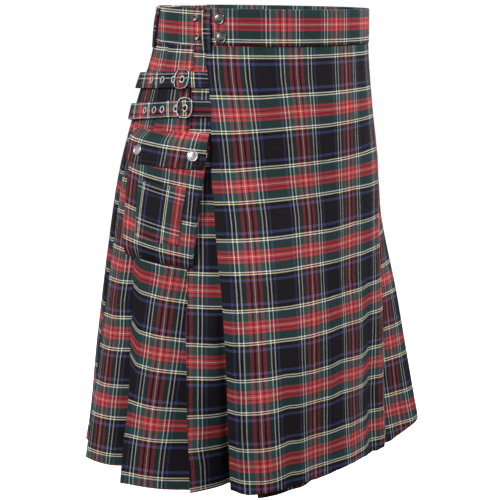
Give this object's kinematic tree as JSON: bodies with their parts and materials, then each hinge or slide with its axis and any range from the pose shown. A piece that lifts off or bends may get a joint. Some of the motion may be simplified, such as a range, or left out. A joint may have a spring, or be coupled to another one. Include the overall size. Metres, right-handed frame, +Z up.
{
  "type": "utility kilt",
  "caption": "Knee-length tartan utility kilt in its worn, hollow form: wrap-over apron, knife pleats, snapped waistband with belt loops, buckled hip straps and a flapped hip pocket.",
  "frame": {"origin": "middle of the waistband's height, on the axis of the waist", "axes": "+Z up along the wearer's body, -Y towards the wearer's front, +X towards the wearer's left"},
  "size_m": [0.5416, 0.4404, 0.621],
  "materials": {
    "tartan_cloth": "twill weave in a black, green, blue, red, white and yellow check, soft with a slight sheen",
    "nickel": "polished nickel plate",
    "dark_nickel": "polished dark nickel plate"
  },
  "bodies": {
    "root": {"waistband": "tartan_cloth", "outer_apron": "tartan_cloth", "under_apron": "tartan_cloth", "pleats": "tartan_cloth", "belt_loop_front": "tartan_cloth", "belt_loop_right": "tartan_cloth", "belt_loop_back": "tartan_cloth", "belt_loop_left": "tartan_cloth", "pocket_body": "tartan_cloth", "pocket_patch": "tartan_cloth", "pocket_flap": "tartan_cloth", "strap_upper": "tartan_cloth", "strap_lower": "tartan_cloth", "tab_upper": "tartan_cloth", "tab_lower": "tartan_cloth", "buckle_upper": "nickel", "buckle_lower": "nickel", "prong_upper": "nickel", "prong_lower": "nickel", "eyelet_upper_1": "nickel", "eyelet_upper_2": "nickel", "eyelet_upper_3": "nickel", "eyelet_upper_4": "nickel", "eyelet_lower_1": "nickel", "eyelet_lower_2": "nickel", "eyelet_lower_3": "nickel", "eyelet_lower_4": "nickel", "eyelet_lower_5": "nickel", "snap_band_upper": "dark_nickel", "snap_band_lower": "dark_nickel", "stud_spare_upper": "dark_nickel", "stud_spare_lower": "dark_nickel", "snap_pocket_front": "nickel", "snap_pocket_rear": "nickel"}
  },
  "joints": []
}
